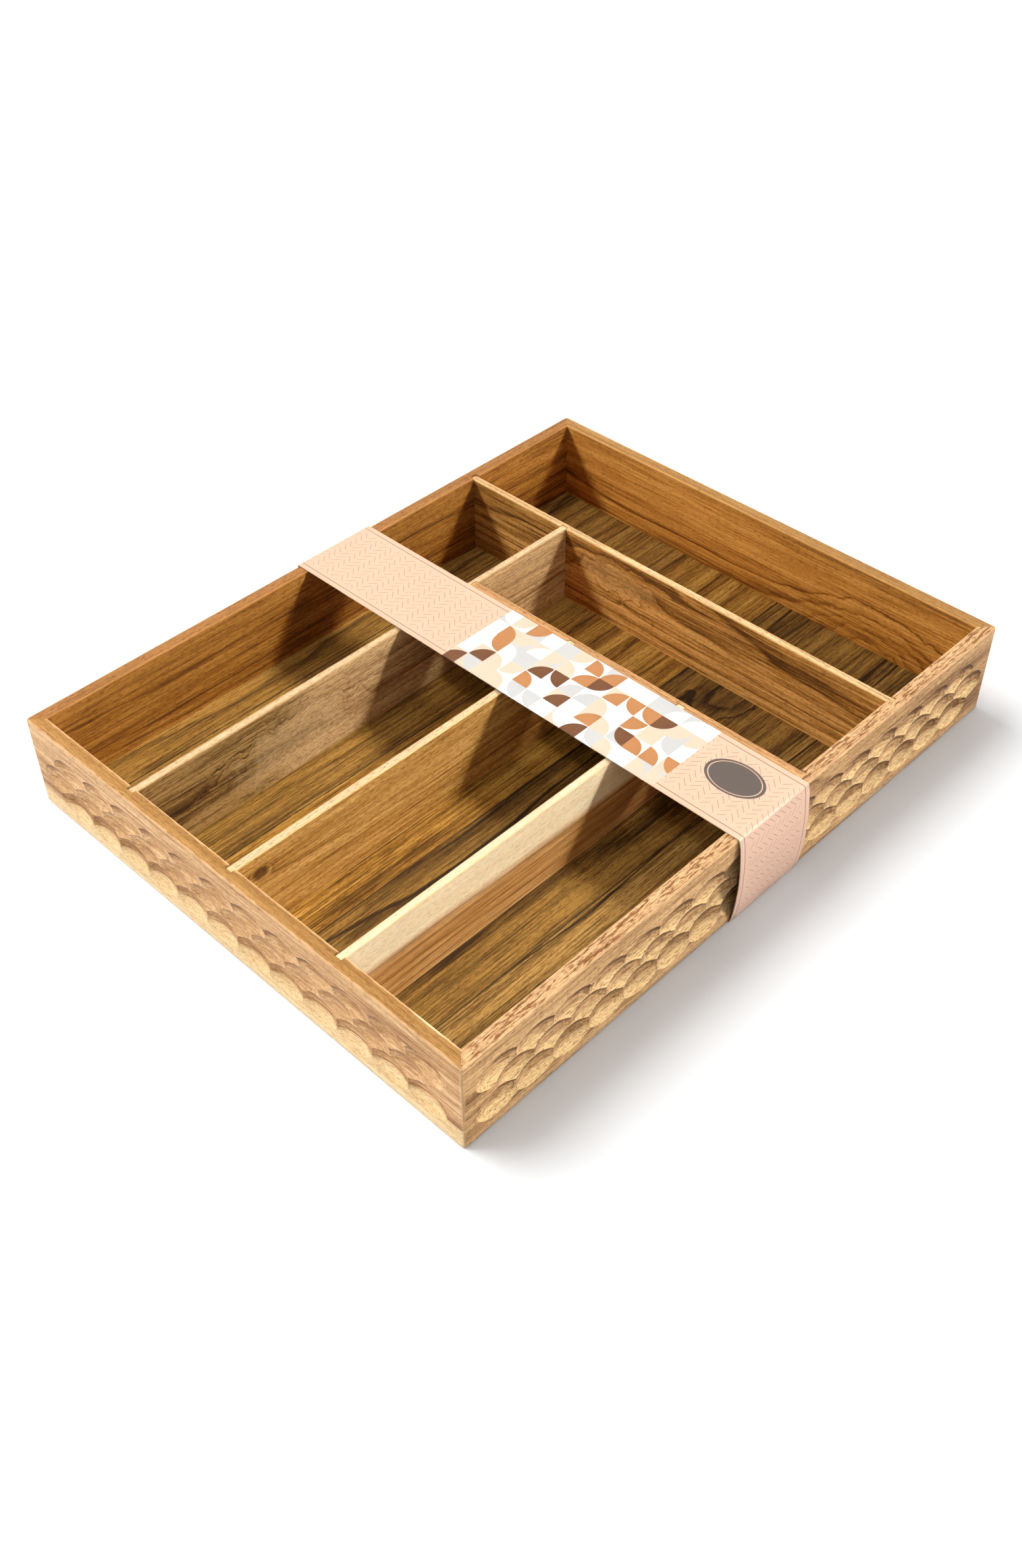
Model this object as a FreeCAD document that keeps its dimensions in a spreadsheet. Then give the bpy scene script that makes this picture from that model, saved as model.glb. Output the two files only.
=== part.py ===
import FreeCAD, Part
import math
import os
import re
import Sketcher

# Wooden cutlery tray in a card sleeve, millimetres.
# X runs across the tray, +Y towards the full-width rear compartment, +Z up.
# The origin is on the ground under the middle of the tray.

SIZES = {
    # outside of the tray
    "tray_width": 355.6,
    "tray_depth": 457.2,
    "tray_height": 63.5,
    "wall_thickness": 9.0,
    # eased edges
    "corner_radius": 2.0,
    "top_edge_ease": 1.3,
    "inner_edge_radius": 0.8,
    "bottom_edge_ease": 0.9,
    # bottom panel of edge-glued staves in a groove all round
    "floor_rise": 2.5,
    "floor_thickness": 5.0,
    "floor_groove_depth": 4.0,
    "floor_edge_gap": 0.3,
    "floor_face_gap": 0.2,
    "first_stave_width": 27.0,
    "second_stave_width": 91.2,
    "third_stave_width": 80.3,
    "fourth_stave_width": 93.0,
    # dividers, housed in slots that are open at the top
    "divider_thickness": 5.0,
    "divider_drop": 1.0,
    "divider_edge_radius": 0.8,
    "wall_slot_depth": 3.2,
    "divider_slot_depth": 2.2,
    "slot_side_gap": 0.1,
    "slot_end_gap": 0.6,
    "middle_compartment_depth": 81.2,
    "rear_compartment_depth": 89.4,
    # carved outer faces: staggered rows of overlapping scoops
    "scoop_pitch": 26.55,
    "scoop_row_pitch": 12.0,
    "scoop_bottom_row": 17.0,
    "scoop_half_length": 15.5,
    "scoop_half_height": 10.1,
    "scoop_depth": 3.5,
    "scoop_flat_height": 5.0,
    "scoop_stagger": 12.9,
    "scoop_side_shift": 1.1,
    "scoop_end_margin": 6.0,
    # card sleeve round the width of the tray
    "card_thickness": 0.5,
    "sleeve_length": 60.5,
    "sleeve_centre": 6.6,
    "sleeve_top_gap": 0.3,
    "sleeve_side_gap": 0.6,
    "sleeve_bow": 2.8,
    "sleeve_fold_radius": 1.6,
}

SCOOP_ROWS = 3
SCOOP_SWEEP = 120.0
OVERCUT = 1.0

doc = FreeCAD.newDocument("CutleryTray")
sheet = doc.addObject("Spreadsheet::Sheet", "Sizes")
for row, (name, value) in enumerate(SIZES.items(), start=1):
    sheet.set(f"A{row}", name)
    sheet.set(f"B{row}", str(value))
    sheet.setAlias(f"B{row}", name)
doc.recompute()


def size(name):
    """Value of one cell of the sheet."""
    return float(getattr(sheet, name))


def cells(formula):
    """Formula with every size name turned into a reference to its cell."""
    def reference(match):
        word = match.group()
        return f"Sizes.{word}" if word in SIZES else word

    return re.sub("[a-z_]+", reference, formula)


# Places that several pieces share, as formulas of the sizes
INNER_WIDTH = "(tray_width - 2 * wall_thickness)"
INNER_DEPTH = "(tray_depth - 2 * wall_thickness)"
FLOOR_TOP = "(floor_rise + floor_thickness)"
DIVIDER_HEIGHT = f"(tray_height - divider_drop - {FLOOR_TOP})"
LANE_PITCH = f"(({INNER_WIDTH} - 3 * divider_thickness) / 4 + divider_thickness)"
REAR_CROSS = f"({INNER_DEPTH} / 2 - rear_compartment_depth - divider_thickness / 2)"
FRONT_CROSS = f"({REAR_CROSS} - middle_compartment_depth - divider_thickness)"
WALL_HOUSING = "(wall_slot_depth - slot_end_gap)"
DIVIDER_HOUSING = "(divider_slot_depth - slot_end_gap)"
SLOT_WIDTH = "(divider_thickness + 2 * slot_side_gap)"
FLOOR_HOUSING = "(floor_groove_depth - floor_edge_gap)"


def new_body(label):
    body = doc.addObject("PartDesign::Body", label)
    body.Label = label
    return body


def origin_feature(body, role):
    return next(item for item in body.Origin.OriginFeatures if item.Role == role)


def new_sketch(body, role, name, offset):
    """Sketch on one of the body's own planes, moved by three formulas."""
    sketch = body.newObject("Sketcher::SketchObject", name)
    sketch.AttachmentSupport = (origin_feature(body, role), [""])
    sketch.MapMode = "FlatFace"
    for axis, formula in zip("xyz", offset):
        sketch.setExpression(f".AttachmentOffset.Base.{axis}", cells(formula))
    return sketch


def bind(sketch, constraint, formula):
    index = sketch.addConstraint(constraint)
    sketch.setExpression(f"Constraints[{index}]", cells(formula))


def add_rectangle(sketch, width, height):
    """Rectangle from the sketch's origin, its two sides bound to formulas."""
    corners = [(0, 0), (10, 0), (10, 10), (0, 10)]
    points = [FreeCAD.Vector(x, y, 0) for x, y in corners]
    for start, end in zip(points, points[1:] + points[:1]):
        sketch.addGeometry(Part.LineSegment(start, end), False)
    for line in range(4):
        sketch.addConstraint(Sketcher.Constraint("Coincident", line, 2, (line + 1) % 4, 1))
    for line, direction in enumerate(("Horizontal", "Vertical", "Horizontal", "Vertical")):
        sketch.addConstraint(Sketcher.Constraint(direction, line))
    sketch.addConstraint(Sketcher.Constraint("Coincident", 0, 1, -1, 1))
    bind(sketch, Sketcher.Constraint("DistanceX", 0, 1, 0, 2, 10.0), width)
    bind(sketch, Sketcher.Constraint("DistanceY", 1, 1, 1, 2, 10.0), height)


def pad(body, sketch, name, length):
    feature = body.newObject("PartDesign::Pad", name)
    feature.Profile = sketch
    feature.setExpression("Length", cells(length))
    doc.recompute()
    return feature


def pocket(body, sketch, name, length):
    """Pocket along the sketch's normal; it has to take wood away."""
    before = body.Shape.Volume
    feature = body.newObject("PartDesign::Pocket", name)
    feature.Profile = sketch
    feature.Reversed = True
    feature.setExpression("Length", cells(length))
    doc.recompute()
    if not body.Shape.Volume < before:
        raise ValueError(f"{name} cuts nothing")
    return feature


def fillet(body, name, radius, chosen):
    """Fillet the edges of the body's tip for which chosen(edge) is true."""
    base = body.Tip
    names = [f"Edge{n}" for n, edge in enumerate(base.Shape.Edges, start=1) if chosen(edge)]
    if not names:
        raise ValueError(f"{name} finds no edge")
    feature = body.newObject("PartDesign::Fillet", name)
    feature.Base = (base, names)
    feature.setExpression("Radius", cells(radius))
    doc.recompute()
    return feature


def chamfer(body, name, width, chosen):
    """Chamfer the edges of the body's tip for which chosen(edge) is true."""
    base = body.Tip
    names = [f"Edge{n}" for n, edge in enumerate(base.Shape.Edges, start=1) if chosen(edge)]
    if not names:
        raise ValueError(f"{name} finds no edge")
    feature = body.newObject("PartDesign::Chamfer", name)
    feature.Base = (base, names)
    feature.setExpression("Size", cells(width))
    doc.recompute()
    return feature


def near(value, target):
    return abs(value - target) < 1e-4


def flat_at(edge, axis, level):
    """True where the whole edge lies at one level of one axis."""
    box = edge.BoundBox
    low = getattr(box, f"{axis}Min")
    high = getattr(box, f"{axis}Max")
    return near(low, level) and near(high, level)


def place(body, x, y, z, turn=0.0):
    body.Placement = FreeCAD.Placement(
        FreeCAD.Vector(0, 0, 0), FreeCAD.Rotation(FreeCAD.Vector(0, 0, 1), turn)
    )
    for axis, formula in zip("xyz", (x, y, z)):
        body.setExpression(f".Placement.Base.{axis}", cells(formula))


# Walls: mitred boards with the outer face at y = 0 and the length along X

def add_wall_plan(sketch, length):
    """Mitred outline with a rounded outer corner at each end."""
    half = 0.5 * (size("tray_width") if length == "tray_width" else size("tray_depth"))
    depth = size("wall_thickness")
    radius = size("corner_radius")
    reach = radius * math.sqrt(0.5)
    outer = FreeCAD.Vector(half - radius, 0, 0)
    bend = FreeCAD.Vector(half - radius + reach, radius - reach, 0)
    inner = FreeCAD.Vector(half - depth, depth, 0)
    centre = FreeCAD.Vector(half - radius, radius, 0)
    up = FreeCAD.Vector(0, 0, 1)

    def mirrored(point):
        return FreeCAD.Vector(-point.x, point.y, 0)

    right_circle = Part.Circle(centre, up, radius)
    left_circle = Part.Circle(mirrored(centre), up, radius)
    sketch.addGeometry(Part.LineSegment(mirrored(outer), outer), False)
    sketch.addGeometry(Part.ArcOfCircle(right_circle, 1.5 * math.pi, 1.75 * math.pi), False)
    sketch.addGeometry(Part.LineSegment(bend, inner), False)
    sketch.addGeometry(Part.LineSegment(inner, mirrored(inner)), False)
    sketch.addGeometry(Part.LineSegment(mirrored(inner), mirrored(bend)), False)
    sketch.addGeometry(Part.ArcOfCircle(left_circle, 1.25 * math.pi, 1.5 * math.pi), False)
    add = sketch.addConstraint
    add(Sketcher.Constraint("Tangent", 0, 2, 1, 1))
    add(Sketcher.Constraint("Coincident", 1, 2, 2, 1))
    add(Sketcher.Constraint("Coincident", 2, 2, 3, 1))
    add(Sketcher.Constraint("Coincident", 3, 2, 4, 1))
    add(Sketcher.Constraint("Coincident", 4, 2, 5, 1))
    add(Sketcher.Constraint("Tangent", 5, 2, 0, 1))
    add(Sketcher.Constraint("PointOnObject", 0, 1, -1))
    add(Sketcher.Constraint("Symmetric", 3, 1, 3, 2, -2))
    add(Sketcher.Constraint("Symmetric", 0, 1, 0, 2, -2))
    add(Sketcher.Constraint("Equal", 1, 5))
    add(Sketcher.Constraint("PointOnObject", 1, 3, 2))
    add(Sketcher.Constraint("Angle", 2, math.radians(135)))
    add(Sketcher.Constraint("Angle", 4, math.radians(225)))
    bind(sketch, Sketcher.Constraint("Radius", 1, radius), "corner_radius")
    bind(sketch, Sketcher.Constraint("DistanceY", -1, 1, 3, 1, depth), "wall_thickness")
    bind(
        sketch,
        Sketcher.Constraint("DistanceX", 3, 2, 3, 1, 2 * inner.x),
        f"{length} - 2 * wall_thickness",
    )


def add_scoop_profile(sketch):
    """Section of one scoop, a flat bottom between two slopes; it turns about the upright axis."""
    depth = size("scoop_depth")
    swing = (size("scoop_half_length") ** 2 + depth**2) / (2 * depth)
    flat = size("scoop_flat_height")
    rim = size("scoop_half_height") + (size("scoop_half_height") - flat) * OVERCUT / depth
    back = swing - depth - OVERCUT
    profile = [(back, rim), (swing, flat), (swing, -flat), (back, -rim)]
    points = [FreeCAD.Vector(x, y, 0) for x, y in profile]
    for start, end in zip(points, points[1:] + points[:1]):
        sketch.addGeometry(Part.LineSegment(start, end), False)
    add = sketch.addConstraint
    for line in range(4):
        add(Sketcher.Constraint("Coincident", line, 2, (line + 1) % 4, 1))
    add(Sketcher.Constraint("Symmetric", 0, 1, 3, 1, -1))
    add(Sketcher.Constraint("Symmetric", 1, 1, 1, 2, -1))
    reach = "(scoop_half_length ^ 2 + scoop_depth ^ 2) / (2 * scoop_depth)"
    slope = "(scoop_half_height - scoop_flat_height) / scoop_depth"
    bind(sketch, Sketcher.Constraint("DistanceX", -1, 1, 1, 1, swing), reach)
    bind(
        sketch,
        Sketcher.Constraint("DistanceX", -1, 1, 0, 1, back),
        f"{reach} - scoop_depth - {OVERCUT}",
    )
    bind(sketch, Sketcher.Constraint("DistanceY", -1, 1, 1, 1, flat), "scoop_flat_height")
    bind(
        sketch,
        Sketcher.Constraint("DistanceY", -1, 1, 0, 1, rim),
        f"scoop_half_height + {slope} * {OVERCUT}",
    )


def carve_scoops(body, length, side):
    """Staggered rows of overlapping scoops; side is +1 or -1 for the mirrored lay."""
    spare = "(2 * scoop_half_length + scoop_stagger + 2 * scoop_end_margin)"
    gaps = f"floor(({length} - {spare}) / scoop_pitch)"
    axis_back = "(scoop_depth ^ 2 - scoop_half_length ^ 2) / (2 * scoop_depth)"
    for row in range(SCOOP_ROWS):
        lean = 1 if row % 2 == 0 else -1
        shift = f"{side} * ({lean} * scoop_stagger / 2 - scoop_side_shift)"
        start = f"{shift} - {gaps} * scoop_pitch / 2"
        level = f"scoop_bottom_row + {row} * scoop_row_pitch"
        offset = (axis_back, level, start)
        sketch = new_sketch(body, "YZ_Plane", f"{body.Label}_scoop_section_{row}", offset)
        add_scoop_profile(sketch)
        before = body.Shape.Volume
        groove = body.newObject("PartDesign::Groove", f"{body.Label}_scoop_{row}")
        groove.Profile = sketch
        groove.ReferenceAxis = (sketch, ["V_Axis"])
        groove.Midplane = True
        groove.Angle = SCOOP_SWEEP
        doc.recompute()
        if not body.Shape.Volume < before:
            raise ValueError(f"{groove.Name} cuts nothing")
        pattern = body.newObject("PartDesign::LinearPattern", f"{body.Label}_scoop_row_{row}")
        pattern.Originals = [groove]
        pattern.Direction = (origin_feature(body, "X_Axis"), [""])
        pattern.setExpression("Length", cells(f"{gaps} * scoop_pitch"))
        pattern.setExpression("Occurrences", cells(f"{gaps} + 1"))
        body.Tip = pattern
        doc.recompute()


def cut_wall_slot(body, name, centre):
    """Upright housing for a divider's end in the inner face, open at the top."""
    offset = (f"{centre} - {SLOT_WIDTH} / 2", "wall_thickness - wall_slot_depth", FLOOR_TOP)
    sketch = new_sketch(body, "XY_Plane", f"{name}_plan", offset)
    add_rectangle(sketch, SLOT_WIDTH, f"wall_slot_depth + {OVERCUT}")
    pocket(body, sketch, name, "tray_height")


def make_wall(label, length, turn, x, y, side, slots):
    body = new_body(label)
    plan = new_sketch(body, "XY_Plane", f"{label}_plan", ("0", "0", "0"))
    add_wall_plan(plan, length)
    pad(body, plan, f"{label}_board", "tray_height")
    height = size("tray_height")
    depth = size("wall_thickness")

    def outer_rim(level):
        return lambda edge: flat_at(edge, "Z", level) and edge.BoundBox.YMax < depth / 3

    def inner_rim(edge):
        return flat_at(edge, "Z", height) and flat_at(edge, "Y", depth)

    chamfer(body, f"{label}_top_edge", "top_edge_ease", outer_rim(height))
    chamfer(body, f"{label}_bottom_edge", "bottom_edge_ease", outer_rim(0.0))
    fillet(body, f"{label}_inner_edge", "inner_edge_radius", inner_rim)
    offset = ("wall_thickness - floor_groove_depth", "floor_rise", f"0 - {length} / 2 - {OVERCUT}")
    section = new_sketch(body, "YZ_Plane", f"{label}_groove_section", offset)
    add_rectangle(section, f"floor_groove_depth + {OVERCUT}", "floor_thickness + floor_face_gap")
    pocket(body, section, f"{label}_floor_groove", f"{length} + 2 * {OVERCUT}")
    for number, centre in enumerate(slots):
        cut_wall_slot(body, f"{label}_slot_{number}", centre)
    carve_scoops(body, length, side)
    place(body, x, y, "card_thickness", turn)
    return body


# Dividers: boards on edge, length along X from x = 0, middle plane at y = 0

def make_divider(label, length, turn, x, y, slots):
    """slots lists (distance from the start, face), the face being +1 or -1 along y."""
    body = new_body(label)
    plan = new_sketch(body, "XY_Plane", f"{label}_plan", ("0", "0 - divider_thickness / 2", "0"))
    add_rectangle(plan, length, "divider_thickness")
    pad(body, plan, f"{label}_board", DIVIDER_HEIGHT)
    top = body.Shape.BoundBox.ZMax

    def top_rim(edge):
        return flat_at(edge, "Z", top) and edge.BoundBox.XLength > 20

    fillet(body, f"{label}_top_edges", "divider_edge_radius", top_rim)
    for number, (distance, face) in enumerate(slots):
        name = f"{label}_slot_{number}"
        start = f"{distance} - {SLOT_WIDTH} / 2"
        if face > 0:
            near_side = "divider_thickness / 2 - divider_slot_depth"
        else:
            near_side = f"0 - divider_thickness / 2 - {OVERCUT}"
        sketch = new_sketch(body, "XY_Plane", f"{name}_plan", (start, near_side, "0"))
        add_rectangle(sketch, SLOT_WIDTH, f"divider_slot_depth + {OVERCUT}")
        pocket(body, sketch, name, "tray_height")
    place(body, x, y, f"card_thickness + {FLOOR_TOP}", turn)
    return body


# Staves: the boards of the bottom panel, grain along Y

def make_stave(label, start, width):
    body = new_body(label)
    plan = new_sketch(body, "XY_Plane", f"{label}_plan", ("0", "0", "0"))
    add_rectangle(plan, width, f"{INNER_DEPTH} + 2 * {FLOOR_HOUSING}")
    pad(body, plan, f"{label}_board", "floor_thickness")
    front = f"0 - {INNER_DEPTH} / 2 - {FLOOR_HOUSING}"
    place(body, start, front, "card_thickness + floor_rise")
    return body


# Sleeve: one band of card, its sides bowed out by the carved walls

def make_sleeve(label):
    body = new_body(label)
    reach = "(tray_width / 2 + sleeve_side_gap + card_thickness)"
    rise = "(tray_height + sleeve_top_gap + 2 * card_thickness)"
    half = size("tray_width") / 2 + size("sleeve_side_gap") + size("card_thickness")
    height = size("tray_height") + size("sleeve_top_gap") + 2 * size("card_thickness")
    bow = size("sleeve_bow")
    sketch = new_sketch(body, "XZ_Plane", f"{label}_section", ("0", "0", "0 - sleeve_length / 2"))
    low = FreeCAD.Vector(half, 0, 0)
    high = FreeCAD.Vector(half, height, 0)
    middle = FreeCAD.Vector(half + bow, height / 2, 0)

    def mirrored(point):
        return FreeCAD.Vector(-point.x, point.y, 0)

    sketch.addGeometry(Part.LineSegment(mirrored(low), low), False)
    sketch.addGeometry(Part.Arc(low, middle, high), False)
    sketch.addGeometry(Part.LineSegment(high, mirrored(high)), False)
    sketch.addGeometry(Part.Arc(mirrored(high), mirrored(middle), mirrored(low)), False)
    add = sketch.addConstraint
    for line in range(4):
        add(Sketcher.Constraint("Coincident", line, 2, (line + 1) % 4, 1))
    add(Sketcher.Constraint("PointOnObject", 0, 1, -1))
    add(Sketcher.Constraint("Symmetric", 0, 1, 0, 2, -2))
    add(Sketcher.Constraint("Symmetric", 2, 1, 2, 2, -2))
    add(Sketcher.Constraint("Equal", 1, 3))
    bind(sketch, Sketcher.Constraint("DistanceX", 0, 1, 0, 2, 2 * half), f"2 * {reach}")
    bind(sketch, Sketcher.Constraint("DistanceX", 2, 2, 2, 1, 2 * half), f"2 * {reach}")
    bind(sketch, Sketcher.Constraint("DistanceY", 0, 2, 2, 1, height), rise)
    radius = (height**2 / 4 + bow**2) / (2 * bow)
    bind(
        sketch,
        Sketcher.Constraint("Radius", 1, radius),
        f"({rise} ^ 2 / 4 + sleeve_bow ^ 2) / (2 * sleeve_bow)",
    )
    pad(body, sketch, f"{label}_block", "sleeve_length")
    fillet(
        body,
        f"{label}_folds",
        "sleeve_fold_radius",
        lambda edge: edge.BoundBox.YLength > 20,
    )
    block = body.Tip
    ends = [
        f"Face{n}"
        for n, face in enumerate(block.Shape.Faces, start=1)
        if face.BoundBox.YLength < 1e-4
    ]
    shell = body.newObject("PartDesign::Thickness", f"{label}_card")
    shell.Base = (block, ends)
    shell.Reversed = True
    shell.setExpression("Value", cells("card_thickness"))
    doc.recompute()
    place(body, "0", "sleeve_centre", "0")
    return body


half_width = "tray_width / 2"
half_depth = "tray_depth / 2"
minus_width = "0 - tray_width / 2"
minus_depth = "0 - tray_depth / 2"
lane_slots = [f"{number} * {LANE_PITCH}" for number in (-1, 0, 1)]

nodes = [
    make_wall("front_wall", "tray_width", 0, "0", minus_depth, 1, lane_slots),
    make_wall("right_wall", "tray_depth", 90, half_width, "0", -1, [FRONT_CROSS, REAR_CROSS]),
    make_wall("rear_wall", "tray_width", 180, "0", half_depth, 1, []),
    make_wall("left_wall", "tray_depth", 270, minus_width, "0", -1, [f"0 - {REAR_CROSS}"]),
]

wall_start = f"0 - {INNER_DEPTH} / 2 - {WALL_HOUSING}"
rear_face = f"{REAR_CROSS} - divider_thickness / 2"
front_face = f"{FRONT_CROSS} - divider_thickness / 2"
long_lane = f"{rear_face} + {DIVIDER_HOUSING} - ({wall_start})"
short_lane = f"{front_face} + {DIVIDER_HOUSING} - ({wall_start})"
left_start = f"0 - {INNER_WIDTH} / 2 - {WALL_HOUSING}"
full_cross = f"{INNER_WIDTH} + 2 * {WALL_HOUSING}"
short_start = f"0 - {LANE_PITCH} + divider_thickness / 2 - {DIVIDER_HOUSING}"
short_cross = f"{INNER_WIDTH} / 2 + {WALL_HOUSING} - ({short_start})"

nodes += [
    make_divider(
        "lane_divider_left",
        long_lane,
        90,
        f"0 - {LANE_PITCH}",
        wall_start,
        [(f"{FRONT_CROSS} - ({wall_start})", -1)],
   ),
    make_divider("lane_divider_middle", short_lane, 90, "0", wall_start, []),
    make_divider("lane_divider_right", short_lane, 90, LANE_PITCH, wall_start, []),
    make_divider(
        "front_cross_divider",
        short_cross,
        0,
        short_start,
        FRONT_CROSS,
        [(f"0 - ({short_start})", -1), (f"{LANE_PITCH} - ({short_start})", -1)],
   ),
    make_divider(
        "rear_cross_divider",
        full_cross,
        0,
        left_start,
        REAR_CROSS,
        [(f"0 - {LANE_PITCH} - ({left_start})", -1)],
   ),
]

panel_start = f"0 - {INNER_WIDTH} / 2 - {FLOOR_HOUSING}"
panel_end = f"{INNER_WIDTH} / 2 + {FLOOR_HOUSING}"
stave_widths = [
    "first_stave_width",
    "second_stave_width",
    "third_stave_width",
    "fourth_stave_width",
]
edge = panel_start
for number, width in enumerate(stave_widths, start=1):
    nodes.append(make_stave(f"floor_stave_{number}", edge, width))
    edge = f"{edge} + {width}"
nodes.append(make_stave("floor_stave_5", edge, f"{panel_end} - ({edge})"))

nodes.append(make_sleeve("card_sleeve"))

doc.recompute()
for item in doc.Objects:
    if "Invalid" in item.State or "Error" in item.State:
        raise ValueError(f"{item.Name} failed: {item.State}")

os.makedirs("parts", exist_ok=True)
for node in nodes:
    shape = node.Shape
    if shape.isNull() or not shape.isValid() or len(shape.Solids) != 1:
        raise ValueError(f"{node.Label} is not one sound solid")
for node in nodes:
    node.Shape.exportStep(f"parts/{node.Label}.step")
    box = node.Shape.BoundBox
    print(
        f"{node.Label}: {node.Shape.Volume / 1000:.1f} cm3, "
        f"x {box.XMin:.2f} to {box.XMax:.2f}, "
        f"y {box.YMin:.2f} to {box.YMax:.2f}, "
        f"z {box.ZMin:.2f} to {box.ZMax:.2f}"
    )
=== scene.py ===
import math
import bmesh
import bpy
from mathutils import Matrix, Vector


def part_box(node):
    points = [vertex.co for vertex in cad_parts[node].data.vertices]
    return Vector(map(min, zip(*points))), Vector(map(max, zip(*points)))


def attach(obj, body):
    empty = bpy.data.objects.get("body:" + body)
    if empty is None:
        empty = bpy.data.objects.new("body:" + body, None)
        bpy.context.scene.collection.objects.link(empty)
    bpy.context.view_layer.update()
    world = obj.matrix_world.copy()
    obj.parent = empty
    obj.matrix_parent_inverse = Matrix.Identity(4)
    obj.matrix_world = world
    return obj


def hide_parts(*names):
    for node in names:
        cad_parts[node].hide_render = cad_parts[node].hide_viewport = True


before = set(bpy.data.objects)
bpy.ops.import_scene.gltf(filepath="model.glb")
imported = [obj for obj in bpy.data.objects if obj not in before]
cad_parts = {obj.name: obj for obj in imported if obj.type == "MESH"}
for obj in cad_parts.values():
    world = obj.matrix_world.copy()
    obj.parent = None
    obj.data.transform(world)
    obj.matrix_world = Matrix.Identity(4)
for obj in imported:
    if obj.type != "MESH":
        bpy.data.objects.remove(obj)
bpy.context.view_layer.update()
mm = 0.001

# The tray's own sizes in millimetres, the same as the solids'
tray = {
    "width": 355.6, "depth": 457.2, "height": 63.5, "wall": 9.0, "base": 0.5,
    "cornerRadius": 2.0, "topRadius": 1.5, "innerRadius": 0.8, "bottomRadius": 1.0,
    "floorRise": 2.5, "floorSlot": 5.2, "grooveDepth": 4.0,
    "dividerSlot": 5.2, "slotDepth": 3.2, "dividerFoot": 7.5,
}


def deselectAll():
    if bpy.context.object and bpy.context.object.mode != "OBJECT":
        bpy.ops.object.mode_set(mode="OBJECT")
    bpy.ops.object.select_all(action="DESELECT")


def makeActive(piece):
    deselectAll()
    piece.select_set(True)
    bpy.context.view_layer.objects.active = piece


def addBlock(name, low, high):
    # a box between two corners in millimetres, its place kept in its mesh
    deselectAll()
    centre = [(a + b) / 2 * mm for a, b in zip(low, high)]
    extent = [(b - a) * mm for a, b in zip(low, high)]
    bpy.ops.mesh.primitive_cube_add(size=1, location=centre, scale=extent)
    piece = bpy.context.object
    piece.name = name
    bpy.ops.object.transform_apply(location=True, rotation=True, scale=True)
    return piece


def pick(piece, kind, test):
    # selects what passes the test on the piece being edited
    bpy.ops.mesh.select_mode(type=kind)
    bpy.ops.mesh.select_all(action="DESELECT")
    mesh = bmesh.from_edit_mesh(piece.data)
    for item in {"VERT": mesh.verts, "EDGE": mesh.edges, "FACE": mesh.faces}[kind]:
        if test(item):
            item.select_set(True)
    mesh.select_flush_mode()
    bmesh.update_edit_mesh(piece.data)


def liesAt(edge, axis, level):
    return all(abs(v.co[axis] - level * mm) < 1e-5 for v in edge.verts)


def roundEdges(piece, radius, segments, test):
    pick(piece, "EDGE", test)
    bpy.ops.mesh.bevel(offset=radius * mm, segments=segments, affect="EDGES")


def cutAway(place, normal):
    # drops what lies beyond a plane and closes the cut
    bpy.ops.mesh.select_all(action="SELECT")
    bpy.ops.mesh.bisect(plane_co=place, plane_no=normal, use_fill=True, clear_outer=True)


def joinPieces(pieces):
    makeActive(pieces[0])
    for piece in pieces:
        piece.select_set(True)
    bpy.ops.object.join()
    return bpy.context.object


def subtract(piece, cutter):
    makeActive(piece)
    cut = piece.modifiers.new("cut", "BOOLEAN")
    cut.operation = "DIFFERENCE"
    cut.solver = "EXACT"
    cut.use_self = True
    cut.object = cutter
    bpy.ops.object.modifier_apply(modifier=cut.name)
    bpy.data.objects.remove(cutter)


# Node building, shared by all materials

def put(tree, kind, inputs=None, **settings):
    # one node; inputs by name or number, each a value or another node's output
    node = tree.nodes.new(kind)
    for key, value in settings.items():
        setattr(node, key, value)
    for key, value in (inputs or {}).items():
        socket = node.inputs[key]
        if isinstance(value, bpy.types.NodeSocket):
            tree.links.new(value, socket)
        else:
            socket.default_value = value
    return node


def calc(tree, operation, first, second=0.0, clamp=False):
    node = put(tree, "ShaderNodeMath", {0: first, 1: second}, operation=operation)
    node.use_clamp = clamp
    return node.outputs[0]


def fade(tree, value, start, end, low=0.0, high=1.0):
    # smooth step from low to high between start and end
    node = put(
        tree, "ShaderNodeMapRange",
        {"Value": value, "From Min": start, "From Max": end, "To Min": low, "To Max": high},
        interpolation_type="SMOOTHSTEP",
    )
    return node.outputs[0]


def stretched(tree, vector, factors):
    node = put(tree, "ShaderNodeVectorMath", {0: vector, 1: factors}, operation="MULTIPLY")
    return node.outputs[0]


def cloud(tree, vector, detail=2.0, roughness=0.5):
    node = put(
        tree, "ShaderNodeTexNoise",
        {"Vector": vector, "Scale": 1.0, "Detail": detail, "Roughness": roughness},
    )
    return node.outputs["Fac"]


def blendColours(tree, mask, first, second, mode="MIX"):
    node = put(tree, "ShaderNodeMix", data_type="RGBA", blend_type=mode)
    for socket, value in zip((node.inputs[0], node.inputs[6], node.inputs[7]), (mask, first, second)):
        if isinstance(value, bpy.types.NodeSocket):
            tree.links.new(value, socket)
        else:
            socket.default_value = value
    return node.outputs[2]


def paint(red, green, blue):
    # a screen colour from 0 to 255 as the shader's own linear colour
    parts = [c / 255 for c in (red, green, blue)]
    return tuple(c / 12.92 if c < 0.04045 else ((c + 0.055) / 1.055) ** 2.4 for c in parts) + (1.0,)


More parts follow.
